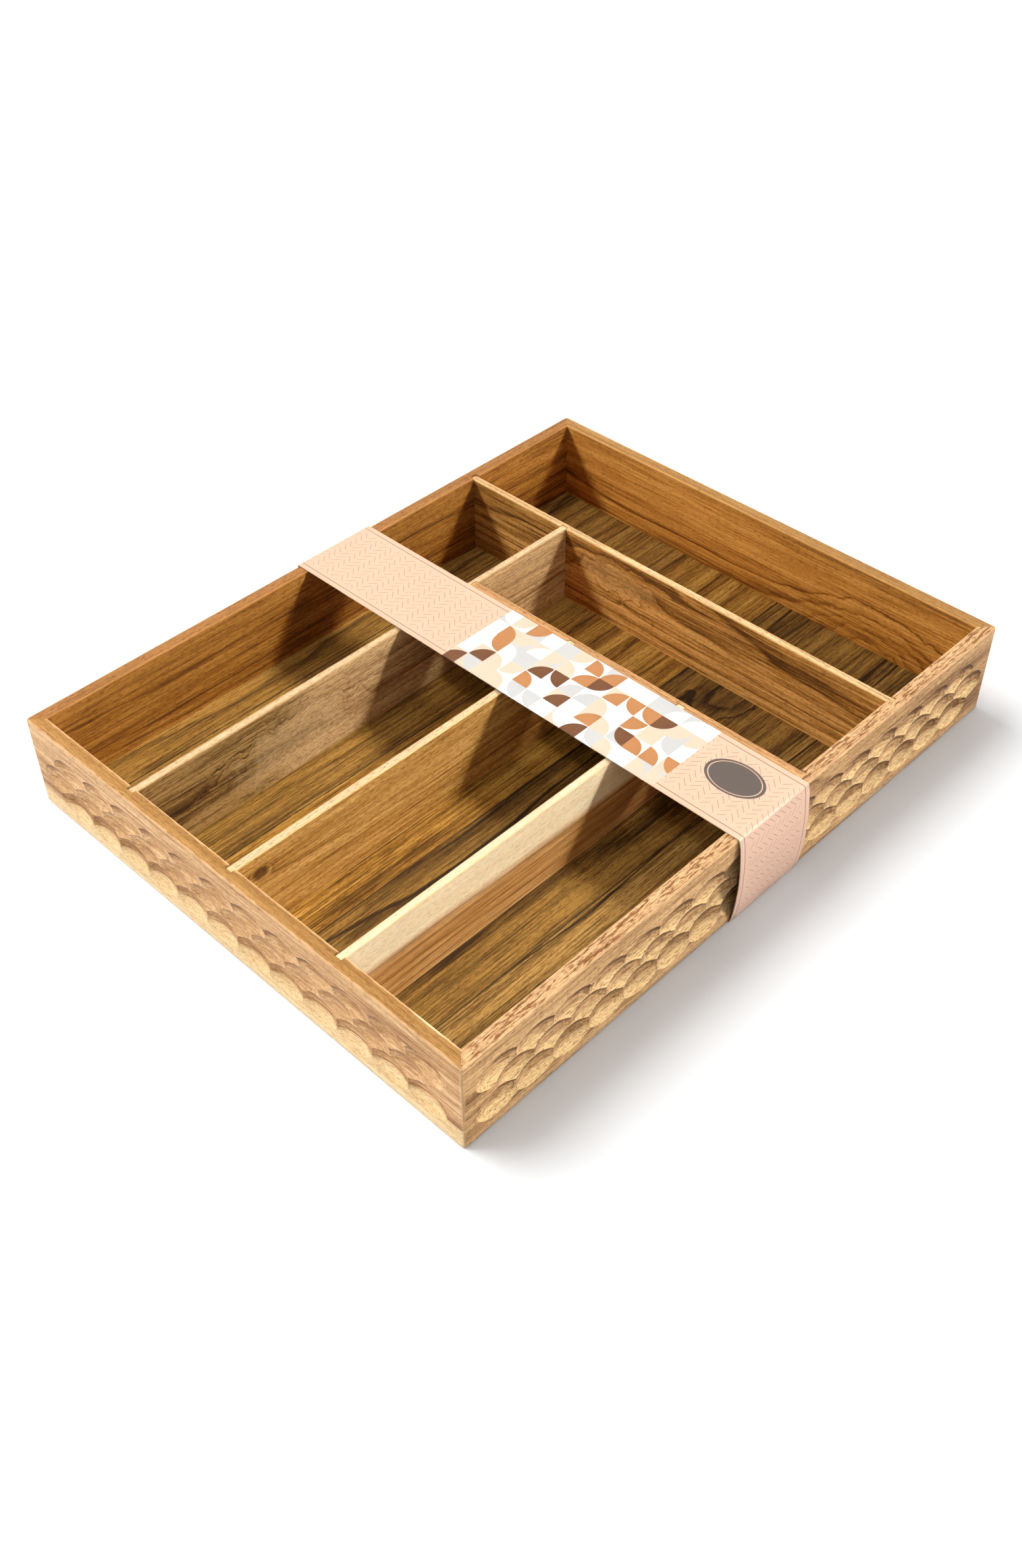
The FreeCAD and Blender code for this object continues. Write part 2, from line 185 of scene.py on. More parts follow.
def newGroup(name, inputs, outputs):
    group = bpy.data.node_groups.new(name, "ShaderNodeTree")
    for label, kind, value in inputs:
        socket = group.interface.new_socket(name=label, in_out="INPUT", socket_type=kind)
        if value is not None:
            socket.default_value = value
    for label, kind in outputs:
        group.interface.new_socket(name=label, in_out="OUTPUT", socket_type=kind)
    return group, group.nodes.new("NodeGroupInput").outputs, group.nodes.new("NodeGroupOutput").inputs


def makeGrainGroup():
    # Growth rings round a pith line along X, with fine fibre, broad streaks and open pores
    tree, given, result = newGroup(
        "woodGrain",
        [
            ("Vector", "NodeSocketVector", None),
            ("Ring Spacing", "NodeSocketFloat", 0.004),
            ("Wobble", "NodeSocketFloat", 0.006),
            ("Swirl", "NodeSocketFloat", 0.0),
        ],
        [
            ("Ring", "NodeSocketFloat"),
            ("Fibre", "NodeSocketFloat"),
            ("Streak", "NodeSocketFloat"),
            ("Pore", "NodeSocketFloat"),
        ],
    )
    vector = given["Vector"]
    parts = put(tree, "ShaderNodeSeparateXYZ", {0: vector}).outputs
    crossSquare = calc(tree, "ADD", calc(tree, "MULTIPLY", parts[1], parts[1]),
                       calc(tree, "MULTIPLY", parts[2], parts[2]))
    radius = calc(tree, "SQRT", crossSquare)
    longWave = cloud(tree, stretched(tree, vector, (2.6, 11.0, 11.0)), 1.0)
    shortWave = cloud(tree, stretched(tree, vector, (9.0, 55.0, 55.0)), 2.0)
    radius = calc(tree, "ADD", radius, calc(tree, "MULTIPLY", calc(tree, "SUBTRACT", longWave, 0.5),
                                            calc(tree, "MULTIPLY", given["Wobble"], 4.0)))
    radius = calc(tree, "ADD", radius, calc(tree, "MULTIPLY", calc(tree, "SUBTRACT", shortWave, 0.5),
                                            given["Wobble"]))
    radius = calc(tree, "ADD", radius, given["Swirl"])
    count = calc(tree, "DIVIDE", radius, given["Ring Spacing"])
    turn = calc(tree, "FRACT", count)
    late = calc(tree, "POWER", turn, 3.0)
    early = fade(tree, turn, 0.0, 0.1, 1.0, 0.0)
    year = put(tree, "ShaderNodeTexWhiteNoise", {"W": calc(tree, "FLOOR", calc(tree, "ADD", count, 0.05))},
               noise_dimensions="1D").outputs["Value"]
    year = calc(tree, "ADD", calc(tree, "MULTIPLY", calc(tree, "POWER", year, 2.0), 1.6), 0.25)
    tree.links.new(calc(tree, "MULTIPLY", calc(tree, "MAXIMUM", late, early), year), result["Ring"])
    fibre = cloud(tree, stretched(tree, vector, (22.0, 780.0, 780.0)), 5.0, 0.75)
    tree.links.new(fibre, result["Fibre"])
    fine = cloud(tree, stretched(tree, vector, (2.2, 120.0, 120.0)), 4.0, 0.6)
    broad = cloud(tree, stretched(tree, vector, (0.9, 38.0, 38.0)), 2.0)
    streak = calc(tree, "ADD", calc(tree, "MULTIPLY", fine, 0.6), calc(tree, "MULTIPLY", broad, 0.4))
    tree.links.new(streak, result["Streak"])
    pore = cloud(tree, stretched(tree, vector, (260.0, 2300.0, 2300.0)), 1.0)
    tree.links.new(fade(tree, pore, 0.54, 0.62), result["Pore"])
    return tree


def makeSpotGroup():
    # soft-edged mask round one place, with a ragged rim
    tree, given, result = newGroup(
        "spotMask",
        [
            ("Vector", "NodeSocketVector", None),
            ("Centre", "NodeSocketVector", (0.0, 0.0, 0.0)),
            ("Reach", "NodeSocketVector", (0.01, 0.01, 0.01)),
            ("Ragged", "NodeSocketFloat", 0.5),
        ],
        [("Mask", "NodeSocketFloat"), ("Nearness", "NodeSocketFloat")],
    )
    offset = put(tree, "ShaderNodeVectorMath", {0: given["Vector"], 1: given["Centre"]},
                 operation="SUBTRACT").outputs[0]
    scaled = put(tree, "ShaderNodeVectorMath", {0: offset, 1: given["Reach"]},
                 operation="DIVIDE").outputs[0]
    distance = put(tree, "ShaderNodeVectorMath", {0: scaled}, operation="LENGTH").outputs["Value"]
    ragged = cloud(tree, stretched(tree, given["Vector"], (90.0, 90.0, 90.0)), 3.0)
    distance = calc(tree, "ADD", distance, calc(tree, "MULTIPLY", calc(tree, "SUBTRACT", ragged, 0.5),
                                                given["Ragged"]))
    tree.links.new(fade(tree, distance, 1.15, 0.55), result["Mask"])
    squared = calc(tree, "MULTIPLY", distance, distance)
    near = calc(tree, "EXPONENT", calc(tree, "MULTIPLY", squared, -1.6))
    tree.links.new(near, result["Nearness"])
    return tree


def makeEdgeGroup():
    # rubbed edges of a board, with a painted highlight along them: one where two faces of the box meet, broken up by
    # noise
    tree, given, result = newGroup(
        "edgeRubAndHighlight",
        [
            ("Vector", "NodeSocketVector", None),
            ("Low", "NodeSocketVector", (0.0, 0.0, 0.0)),
            ("High", "NodeSocketVector", (1.0, 1.0, 1.0)),
            ("Width", "NodeSocketFloat", 0.0012),
        ],
        [("RubAndHighlight", "NodeSocketFloat")],
    )
    fromLow = put(tree, "ShaderNodeVectorMath", {0: given["Vector"], 1: given["Low"]},
                  operation="SUBTRACT").outputs[0]
    fromHigh = put(tree, "ShaderNodeVectorMath", {0: given["High"], 1: given["Vector"]},
                   operation="SUBTRACT").outputs[0]
    nearest = put(tree, "ShaderNodeVectorMath", {0: fromLow, 1: fromHigh}, operation="MINIMUM").outputs[0]
    parts = put(tree, "ShaderNodeSeparateXYZ", {0: nearest}).outputs
    smaller = calc(tree, "MINIMUM", parts[0], parts[1])
    larger = calc(tree, "MAXIMUM", parts[0], parts[1])
    second = calc(tree, "MAXIMUM", smaller, calc(tree, "MINIMUM", larger, parts[2]))
    noise = cloud(tree, stretched(tree, given["Vector"], (160.0, 160.0, 160.0)), 3.0)
    width = calc(tree, "MULTIPLY", given["Width"], calc(tree, "MULTIPLY", noise, 2.0))
    tree.links.new(fade(tree, calc(tree, "DIVIDE", second, width), 1.25, 0.4), result["RubAndHighlight"])
    return tree


grainGroup = makeGrainGroup()
spotGroup = makeSpotGroup()
edgeGroup = makeEdgeGroup()


def woodMaterial(name, look, low, high):
    material = bpy.data.materials.new(name)
    material.use_nodes = True
    tree = material.node_tree
    shader = tree.nodes["Principled BSDF"]
    place = put(tree, "ShaderNodeTexCoord").outputs["Object"]
    turn = (0.0, 0.0, -math.pi / 2) if look["grain"] == "y" else (0.0, 0.0, 0.0)
    mapping = put(tree, "ShaderNodeMapping", {"Vector": place, "Rotation": turn,
                                              "Location": look["pith"]}).outputs[0]
    swirl = 0.0
    spots = []
    for spot in look.get("knots", []):
        group = put(tree, "ShaderNodeGroup", {}, node_tree=spotGroup)
        tree.links.new(place, group.inputs["Vector"])
        group.inputs["Centre"].default_value = spot["centre"]
        group.inputs["Reach"].default_value = spot["reach"]
        group.inputs["Ragged"].default_value = spot.get("ragged", 0.5)
        push = calc(tree, "MULTIPLY", group.outputs["Nearness"], spot.get("swirl", 0.0))
        swirl = calc(tree, "ADD", push, swirl)
        if "colour" in spot:
            spots.append((group.outputs["Mask"], spot["colour"], spot.get("strength", 0.7)))
    grain = put(tree, "ShaderNodeGroup", {}, node_tree=grainGroup)
    tree.links.new(mapping, grain.inputs["Vector"])
    grain.inputs["Ring Spacing"].default_value = look["spacing"]
    grain.inputs["Wobble"].default_value = look["wobble"]
    if isinstance(swirl, bpy.types.NodeSocket):
        tree.links.new(swirl, grain.inputs["Swirl"])
    ring, fibre, streak, pore = [grain.outputs[n] for n in ("Ring", "Fibre", "Streak", "Pore")]
    tone = calc(tree, "MULTIPLY", calc(tree, "SUBTRACT", 0.35, ring), look["ringDepth"])
    tone = calc(tree, "ADD", tone, calc(tree, "MULTIPLY", calc(tree, "SUBTRACT", fibre, 0.5), look["fibreDepth"]))
    tone = calc(tree, "ADD", tone, calc(tree, "MULTIPLY", calc(tree, "SUBTRACT", streak, 0.5), look["streakDepth"]))
    tone = calc(tree, "ADD", tone, 0.5, True)
    ramp = put(tree, "ShaderNodeValToRGB", {"Fac": tone})
    stops = ramp.color_ramp.elements
    stops[0].position, stops[0].color = 0.08, paint(*look["dark"])
    stops[1].position, stops[1].color = 0.92, paint(*look["light"])
    middle = stops.new(0.5)
    middle.color = paint(*look["middle"])
    colour = ramp.outputs["Color"]
    drift = cloud(tree, stretched(tree, mapping, (6.0, 60.0, 60.0)), 2.0)
    for band in look.get("bands", []):
        axis = put(tree, "ShaderNodeSeparateXYZ", {0: place}).outputs[band["axis"]]
        level = calc(tree, "ADD", axis, calc(tree, "MULTIPLY", calc(tree, "SUBTRACT", drift, 0.5), band["drift"]))
        mask = fade(tree, level, band["from"], band["to"])
        mask = calc(tree, "MULTIPLY", mask, band["strength"])
        tinted = blendColours(tree, tone, paint(*band["dark"]), paint(*band["light"]))
        colour = blendColours(tree, mask, colour, tinted)
    # painted shade on the scoops' downward-facing sides and a painted highlight on their upward-facing sides, picked
    # by how far the surface leans
    if "hollow" in look:
        lean = put(tree, "ShaderNodeSeparateXYZ", {0: put(tree, "ShaderNodeTexCoord").outputs["Normal"]}).outputs[2]
        start, full = look.get("hollowLean", (0.1, 0.5))
        upper = calc(tree, "MULTIPLY", fade(tree, lean, -start, -full), fade(tree, lean, -0.9, -0.8))
        lower = calc(tree, "MULTIPLY", fade(tree, lean, start, full), fade(tree, lean, 0.9, 0.8))
        paintedShade, paintedHighlight = look["hollow"]
        colour = blendColours(tree, calc(tree, "MULTIPLY", upper, paintedShade[3]), colour, paint(*paintedShade[:3]))
        colour = blendColours(tree, calc(tree, "MULTIPLY", lower, paintedHighlight[3]), colour, paint(*paintedHighlight[:3]))
    if "top" in look:
        height = put(tree, "ShaderNodeSeparateXYZ", {0: place}).outputs[2]
        topColour = blendColours(tree, tone, paint(*look["top"][0]), paint(*look["top"][1]))
        if "flecks" in look:
            fleck = cloud(tree, stretched(tree, mapping, (120.0, 900.0, 900.0)), 3.0, 0.6)
            topColour = blendColours(tree, fade(tree, fleck, 0.50, 0.58), topColour, paint(*look["flecks"]))
        colour = blendColours(tree, fade(tree, height, high[2] - 0.0012, high[2] - 0.0004), colour, topColour)
    for mask, spotColour, strength in spots:
        colour = blendColours(tree, calc(tree, "MULTIPLY", mask, strength), colour, paint(*spotColour))
    poreMask = calc(tree, "MULTIPLY", pore, look["pores"])
    colour = blendColours(tree, poreMask, colour, paint(*look["poreTint"]), "MULTIPLY")
    # along the box's edges the light edge tone is partly real rubbing and partly a painted highlight; the floor
    # staves' dark edge tone marks their joints
    wear = put(tree, "ShaderNodeGroup", {}, node_tree=edgeGroup)
    tree.links.new(place, wear.inputs["Vector"])
    wear.inputs["Low"].default_value = low
    wear.inputs["High"].default_value = high
    wear.inputs["Width"].default_value = look["wearWidth"]
    wearMask = calc(tree, "MULTIPLY", wear.outputs["RubAndHighlight"], look["wear"])
    colour = blendColours(tree, wearMask, colour, paint(*look["edge"]))
    tree.links.new(colour, shader.inputs["Base Color"])
    rough = calc(tree, "ADD", calc(tree, "MULTIPLY", fibre, 0.22), look["rough"])
    rough = calc(tree, "ADD", rough, calc(tree, "MULTIPLY", poreMask, 0.15), True)
    tree.links.new(rough, shader.inputs["Roughness"])
    relief = calc(tree, "SUBTRACT", calc(tree, "MULTIPLY", fibre, 0.6), calc(tree, "MULTIPLY", pore, 0.7))
    relief = calc(tree, "SUBTRACT", relief, calc(tree, "MULTIPLY", ring, 0.25))
    bump = put(tree, "ShaderNodeBump", {"Height": relief, "Strength": look.get("relief", 0.35),
                                        "Distance": 0.0003})
    tree.links.new(bump.outputs["Normal"], shader.inputs["Normal"])
    shader.inputs["Specular IOR Level"].default_value = 0.2
    return material


print("stage: material groups ready")


# Carved walls: each is cut from one eased block of the tray's outline, then scooped

carving = {
    "pitch": 26.55, "rowPitch": 12.0, "bottomRow": 17.0, "halfLength": 15.5, "halfHeight": 10.1,
    "depth": 3.5, "stagger": 12.9, "shift": 1.1, "endMargin": 6.0, "bowl": 11.0, "rows": 3,
    "segments": 56, "rings": 28,
}

walls = {
    "front": {"turn": 0, "length": tray["width"], "stand": tray["depth"] / 2, "side": 1},
    "right": {"turn": 90, "length": tray["depth"], "stand": tray["width"] / 2, "side": -1},
    "rear": {"turn": 180, "length": tray["width"], "stand": tray["depth"] / 2, "side": 1},
    "left": {"turn": 270, "length": tray["depth"], "stand": tray["width"] / 2, "side": -1},
}


def wallPlace(wall):
    # from a wall's own lay, outer face at y = 0 and length along x, to its place in the tray
    turn = Matrix.Rotation(math.radians(wall["turn"]), 4, "Z")
    return turn @ Matrix.Translation((0, -wall["stand"] * mm, 0))


def outlineBlock(name):
    half = (tray["width"] / 2, tray["depth"] / 2)
    top = tray["base"] + tray["height"]
    block = addBlock(name, (-half[0], -half[1], tray["base"]), (half[0], half[1], top))
    bpy.ops.object.mode_set(mode="EDIT")
    roundEdges(block, tray["cornerRadius"], 5, lambda e: abs(e.verts[0].co.z - e.verts[1].co.z) > 0.01)
    roundEdges(block, tray["topRadius"], 4, lambda e: liesAt(e, 2, top))
    roundEdges(block, tray["bottomRadius"], 3, lambda e: liesAt(e, 2, tray["base"]))
    return block


def makeWall(label, wall):
    piece = outlineBlock(f"{label}Wall")
    place = wallPlace(wall)
    inward = place.to_3x3() @ Vector((0, 1, 0))
    along = place.to_3x3() @ Vector((1, 0, 0))
    innerFace = place @ Vector((0, tray["wall"] * mm, 0))
    cutAway(innerFace, inward)
    for end in (1, -1):
        corner = place @ Vector((end * wall["length"] / 2 * mm, 0, 0))
        cutAway(corner, along * end + inward)
    top = tray["base"] + tray["height"]
    innerLevel = innerFace.dot(inward)
    roundEdges(
        piece, tray["innerRadius"], 3,
        lambda e: liesAt(e, 2, top) and all(abs(v.co.dot(inward) - innerLevel) < 1e-5 for v in e.verts),
    )
    bpy.ops.object.mode_set(mode="OBJECT")
    return piece


def cutHousings(piece):
    # the groove for the floor and the upright slots for the divider ends
    insideX = tray["width"] / 2 - tray["wall"]
    insideY = tray["depth"] / 2 - tray["wall"]
    low = tray["base"] + tray["floorRise"]
    reach = tray["grooveDepth"]
    subtract(piece, addBlock("grooveCutter", (-insideX - reach, -insideY - reach, low),
                             (insideX + reach, insideY + reach, low + tray["floorSlot"])))
    half = tray["dividerSlot"] / 2
    foot = tray["base"] + tray["dividerFoot"]
    top = tray["base"] + tray["height"] + 2
    deep = tray["slotDepth"]
    cutters = []
    for x in (-85.65, 0.0, 85.65):
        cutters.append(addBlock("slotCutter", (x - half, -insideY - deep, foot), (x + half, -insideY + 20, top)))
    subtract(piece, joinPieces(cutters))
    cutters = [
        addBlock("slotCutter", (-insideX - deep, 127.7 - half, foot), (insideX + deep, 127.7 + half, top)),
        addBlock("slotCutter", (100, 41.5 - half, foot), (insideX + deep, 41.5 + half, top)),
    ]
    subtract(piece, joinPieces(cutters))


def makeScoopCutter(wall):
    # bowl-shaped caps in staggered rows; a cap is the part of an ellipsoid inside the face
    c = carving
    coarse = 1
    sunk = c["bowl"] - c["depth"]
    share = math.sqrt(1 - (sunk / c["bowl"]) ** 2)
    halfSizes = [c["halfLength"] / share, c["bowl"], c["halfHeight"] / share]
    spare = 2 * c["halfLength"] + c["stagger"] + 2 * c["endMargin"]
    gaps = math.floor((wall["length"] - spare) / c["pitch"])
    place = wallPlace(wall)
    deselectAll()
    bpy.ops.mesh.primitive_uv_sphere_add(segments=c["segments"] // coarse, ring_count=c["rings"] // coarse, radius=1)
    cap = bpy.context.object
    cap.scale = [s * mm for s in halfSizes]
    cap.location = (0, -sunk * mm, 0)
    bpy.ops.object.transform_apply(location=True, rotation=True, scale=True)
    bpy.ops.object.mode_set(mode="EDIT")
    cutAway((0, -0.8 * mm, 0), (0, -1, 0))
    bpy.ops.object.mode_set(mode="OBJECT")
    cutters = []
    for row in range(c["rows"]):
        lean = 1 if row % 2 == 0 else -1
        middle = wall["side"] * (lean * c["stagger"] / 2 - c["shift"])
        level = tray["base"] + c["bottomRow"] + row * c["rowPitch"]
        for number in range(gaps + 1):
            x = middle + (number - gaps / 2) * c["pitch"]
            copy = bpy.data.objects.new("scoop", cap.data.copy())
            bpy.context.collection.objects.link(copy)
            copy.data.transform(place @ Matrix.Translation((x * mm, 0, level * mm)))
            cutters.append(copy)
    bpy.data.objects.remove(cap)
    return joinPieces(cutters)


wallPieces = {}
for label, wall in walls.items():
    piece = makeWall(label, wall)
    cutHousings(piece)
    subtract(piece, makeScoopCutter(wall))
    makeActive(piece)
    bpy.ops.object.shade_smooth_by_angle(angle=math.radians(16))
    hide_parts(f"{label}_wall")
    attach(piece, "tray")
    wallPieces[label] = piece
    print("stage:", piece.name, len(piece.data.polygons), "faces")


# Looks of the boards, one dictionary a piece; tones are dark, middle and light on a screen

def look(tones, grain, pith, **changes):
    # the edge tone defaults to the light tone: partly real rubbing, partly a painted highlight along the edges
    mixed = {
        "grain": grain, "pith": pith, "dark": tones[0], "middle": tones[1], "light": tones[2],
        "spacing": 0.0045, "wobble": 0.006, "ringDepth": 0.35, "fibreDepth": 2.6, "streakDepth": 2.2,
        "pores": 0.7, "poreTint": (178, 152, 126), "edge": tones[2], "wear": 0.5,
        "wearWidth": 0.0012, "rough": 0.42,
    }
    mixed.update(changes)
    return mixed


# hollow holds a painted shade colour and strength for the scoops' downward-facing sides, then a painted highlight
# colour and strength for their upward-facing sides
wallLooks = {
    "front": look(
        ((136, 88, 48), (190, 144, 96), (230, 192, 146)), "x", (0.0, 0.30, -0.09),
        top=((130, 90, 42), (186, 138, 78)), hollow=((112, 66, 30, 0.85), (232, 190, 138, 0.3)),
        spacing=0.008, ringDepth=0.3, fibreDepth=1.9, streakDepth=2.0, pores=0.5,
        knots=[{"centre": (0.150, -0.2196, 0.0640), "reach": (0.022, 0.0012, 0.0016), "ragged": 0.9,
                "colour": (240, 218, 180), "strength": 0.8}],
        bands=[{"axis": 2, "drift": 0.012, "from": 0.0165, "to": 0.0105, "strength": 0.92,
                "dark": (214, 178, 122), "light": (250, 226, 180)}],
    ),
    "right": look(
        ((118, 77, 38), (172, 132, 84), (210, 171, 121)), "y", (0.0, -0.19, -0.06),
        top=((158, 114, 72), (204, 166, 121)), flecks=(132, 86, 44), hollow=((100, 56, 24, 0.8), (240, 208, 150, 0.5)),
        hollowLean=(0.06, 0.3),
        spacing=0.0026, wobble=0.0045, ringDepth=0.35, pores=0.8,
        knots=[{"centre": (0.178, -0.118, 0.028), "reach": (0.03, 0.03, 0.02), "swirl": 0.012},
               {"centre": (0.178, -0.165, 0.018), "reach": (0.03, 0.02, 0.012), "swirl": 0.009}],
    ),
    "rear": look(
        ((112, 64, 16), (176, 116, 44), (210, 152, 74)), "x", (0.02, -0.17, -0.05),
        top=((140, 98, 48), (176, 134, 78)), hollow=((84, 44, 12, 0.7), (212, 158, 88, 0.4)),
        hollowLean=(0.06, 0.3),
        spacing=0.009, ringDepth=0.35, fibreDepth=2.2, streakDepth=2.0, pores=0.6,
        knots=[{"centre": (0.10, 0.22, 0.012), "reach": (0.055, 0.02, 0.026), "swirl": 0.03}],
    ),
    "left": look(
        ((96, 52, 14), (156, 98, 36), (190, 130, 62)), "y", (0.0, -0.24, -0.08),
        top=((126, 84, 42), (168, 116, 64)), hollow=((72, 36, 10, 0.7), (194, 138, 74, 0.4)),
        hollowLean=(0.06, 0.3), spacing=0.006, streakDepth=2.0,
    ),
}

for label, piece in wallPieces.items():
    low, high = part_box(f"{label}_wall")
    piece.data.materials.clear()
    piece.data.materials.append(woodMaterial(f"{label}WallWood", wallLooks[label], low, high))
print("stage: wall materials")

boardLooks = {
    "lane_divider_left": look(
        ((50, 30, 10), (108, 76, 38), (176, 138, 84)), "y", (0.0, 0.03, -0.10),
        top=((186, 148, 106), (214, 182, 140)),
        spacing=0.005, ringDepth=0.5,
        bands=[{"axis": 1, "drift": 0.09, "from": -0.15, "to": -0.085, "strength": 0.85,
                "dark": (144, 102, 54), "light": (230, 192, 136)}],
        knots=[{"centre": (-0.083, -0.112, 0.030), "reach": (0.03, 0.045, 0.022), "swirl": 0.03,
                "ragged": 1.4, "colour": (212, 182, 130), "strength": 0.4}],
    ),
    "lane_divider_middle": look(
        ((132, 84, 32), (190, 136, 66), (226, 178, 104)), "y", (0.0, 0.06, -0.06),
        top=((202, 172, 130), (224, 198, 160)),
        spacing=0.006, fibreDepth=2.2, streakDepth=2.4,
        knots=[{"centre": (0.0025, -0.205, 0.050), "reach": (0.01, 0.007, 0.005), "swirl": 0.008,
                "colour": (70, 36, 12), "strength": 0.8}],
    ),
    "lane_divider_right": look(
        ((140, 92, 42), (194, 142, 80), (226, 180, 118)), "y", (0.0, 0.05, -0.12),
        top=((216, 192, 154), (232, 212, 178)),
        spacing=0.006, fibreDepth=2.2, streakDepth=2.2, pores=0.3,
        bands=[{"axis": 2, "drift": 0.02, "from": 0.034, "to": 0.044, "strength": 0.97,
                "dark": (250, 224, 176), "light": (255, 242, 206)}],
    ),
    "front_cross_divider": look(
        ((120, 66, 28), (176, 112, 60), (216, 158, 100)), "x", (0.0, 0.1, -0.1),
        top=((146, 104, 60), (200, 154, 104)),
    ),
    "rear_cross_divider": look(
        ((88, 54, 18), (166, 114, 50), (220, 166, 92)), "x", (0.0, -0.16, -0.06),
        top=((176, 136, 92), (214, 184, 138)),
        spacing=0.005, ringDepth=0.5,
        knots=[{"centre": (-0.04, 0.125, 0.044), "reach": (0.034, 0.02, 0.012), "swirl": 0.016,
                "ragged": 1.0, "colour": (214, 168, 104), "strength": 0.4}],
    ),
    "floor_stave_1": look(
        ((73, 44, 13), (144, 103, 43), (174, 129, 63)), "y", (0.0, -0.14, 0.06),
    ),
    "floor_stave_2": look(
        ((61, 35, 7), (123, 85, 33), (169, 127, 60)), "y", (0.0, -0.10, 0.08), spacing=0.008,
    ),
    "floor_stave_3": look(
        ((80, 49, 11), (153, 106, 39), (193, 148, 70)), "y", (0.0, 0.02, 0.07), spacing=0.009,
    ),
    "floor_stave_4": look(
        ((48, 29, 7), (104, 72, 27), (155, 115, 52)), "y", (0.0, 0.08, 0.09), spacing=0.007,
        knots=[{"centre": (0.064, 0.118, 0.008), "reach": (0.02, 0.03, 0.02), "swirl": 0.014,
                "colour": (36, 20, 8), "strength": 0.4}],
    ),
    "floor_stave_5": look(
        ((41, 25, 7), (115, 82, 33), (179, 138, 73)), "y", (0.0, 0.16, 0.06), spacing=0.006,
    ),
}
for node in boardLooks:
    if node.startswith("floor"):
        boardLooks[node].update(wear=0.85, wearWidth=0.0006, edge=(34, 20, 8), ringDepth=0.45)
for node, item in boardLooks.items():
    low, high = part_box(node)
    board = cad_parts[node]
    board.data.materials.clear()
    board.data.materials.append(woodMaterial(f"{node}_wood", item, low, high))
print("stage: board materials")


# Card sleeve: one band round the tray's width

sleeve = {
    "halfWidth": 178.9, "height": 64.8, "from": -23.65, "to": 36.85, "card": 0.5,
    "fold": 1.6, "bow": 2.8, "steps": 26, "across": 10, "up": 12,
    "waviness": 0.5,
}


def bisectAt(place, normal):
    bpy.ops.mesh.select_all(action="SELECT")
    bpy.ops.mesh.bisect(plane_co=place, plane_no=normal)


def makeSleeve():
    s = sleeve
    piece = addBlock("cardSleeve", (-s["halfWidth"], s["from"], 0), (s["halfWidth"], s["to"], s["height"]))
    bpy.ops.object.mode_set(mode="EDIT")
    pick(piece, "FACE", lambda f: abs(f.normal.y) > 0.9)
    bpy.ops.mesh.delete(type="FACE")
    roundEdges(piece, s["fold"], 4, lambda e: abs(e.verts[0].co.y - e.verts[1].co.y) > 0.01)
    for n in range(1, s["steps"]):
        x = s["halfWidth"] * (2 * n / s["steps"] - 1)
        bisectAt((x * mm, 0, 0), (1, 0, 0))
    for n in range(1, s["across"]):
        y = s["from"] + (s["to"] - s["from"]) * n / s["across"]
        bisectAt((0, y * mm, 0), (0, 1, 0))
    for n in range(1, s["up"]):
        z = s["height"] * n / s["up"]
        bisectAt((0, 0, z * mm), (0, 0, 1))
    bpy.ops.object.mode_set(mode="OBJECT")
    return piece


def bowSides(piece):
    # the carved walls push the card out most at mid height
    s = sleeve
    for side in (1, -1):
        for n in range(1, s["up"]):
            z = s["height"] * n / s["up"]
            push = s["bow"] * (1 - (2 * n / s["up"] - 1) ** 2)
            makeActive(piece)
            bpy.ops.object.mode_set(mode="EDIT")
            pick(piece, "VERT", lambda v: abs(v.co.z - z * mm) < 1e-5 and abs(v.co.x - side * s["halfWidth"] * mm) < 1e-4)
            bpy.ops.transform.translate(value=(side * push * mm, 0, 0))
            bpy.ops.object.mode_set(mode="OBJECT")


def mapSleeve(piece):
    # UV in metres: along the wrap from the middle of the top, and along Y
    s = sleeve
    half, height = s["halfWidth"] * mm, s["height"] * mm
    layer = piece.data.uv_layers.new(name="wrap")
    for face in piece.data.polygons:
        for corner in face.loop_indices:
            at = piece.data.vertices[piece.data.loops[corner].vertex_index].co
            side = 1 if face.center.x > 0 else -1
            if face.normal.z > 0.7:
                along = at.x
            elif face.normal.z < -0.7:
                along = side * (2 * half + height - abs(at.x))
            else:
                along = side * (half + height - at.z)
            layer.data[corner].uv = (along, at.y)


sleevePiece = makeSleeve()
bowSides(sleevePiece)
mapSleeve(sleevePiece)
makeActive(sleevePiece)
shell = sleevePiece.modifiers.new("card", "SOLIDIFY")
shell.thickness = sleeve["card"] * mm
shell.offset = -1
shell.material_offset = 1
shell.material_offset_rim = 2
bpy.ops.object.modifier_apply(modifier=shell.name)
bpy.ops.object.shade_smooth_by_angle(angle=math.radians(40))
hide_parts("card_sleeve")
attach(sleevePiece, "sleeve")
print("stage: sleeve", len(sleevePiece.data.polygons), "faces")


def cardMaterial(name, colour, rough):
    material = bpy.data.materials.new(name)
    material.use_nodes = True
    tree = material.node_tree
    shader = tree.nodes["Principled BSDF"]
    place = put(tree, "ShaderNodeTexCoord").outputs["Object"]
    pulp = cloud(tree, stretched(tree, place, (900.0, 900.0, 900.0)), 4.0, 0.6)
    patch = cloud(tree, stretched(tree, place, (60.0, 60.0, 60.0)), 2.0)
    shade = calc(tree, "ADD", calc(tree, "MULTIPLY", pulp, 0.25), calc(tree, "MULTIPLY", patch, 0.2))
    darker = tuple(c * 0.86 for c in paint(*colour)[:3]) + (1.0,)
    tree.links.new(blendColours(tree, shade, paint(*colour), darker), shader.inputs["Base Color"])
    bump = put(tree, "ShaderNodeBump", {"Height": pulp, "Strength": 0.2, "Distance": 0.0001})
    tree.links.new(bump.outputs["Normal"], shader.inputs["Normal"])
    tree.links.new(calc(tree, "ADD", calc(tree, "MULTIPLY", pulp, 0.2), rough - 0.1), shader.inputs["Roughness"])
    return material


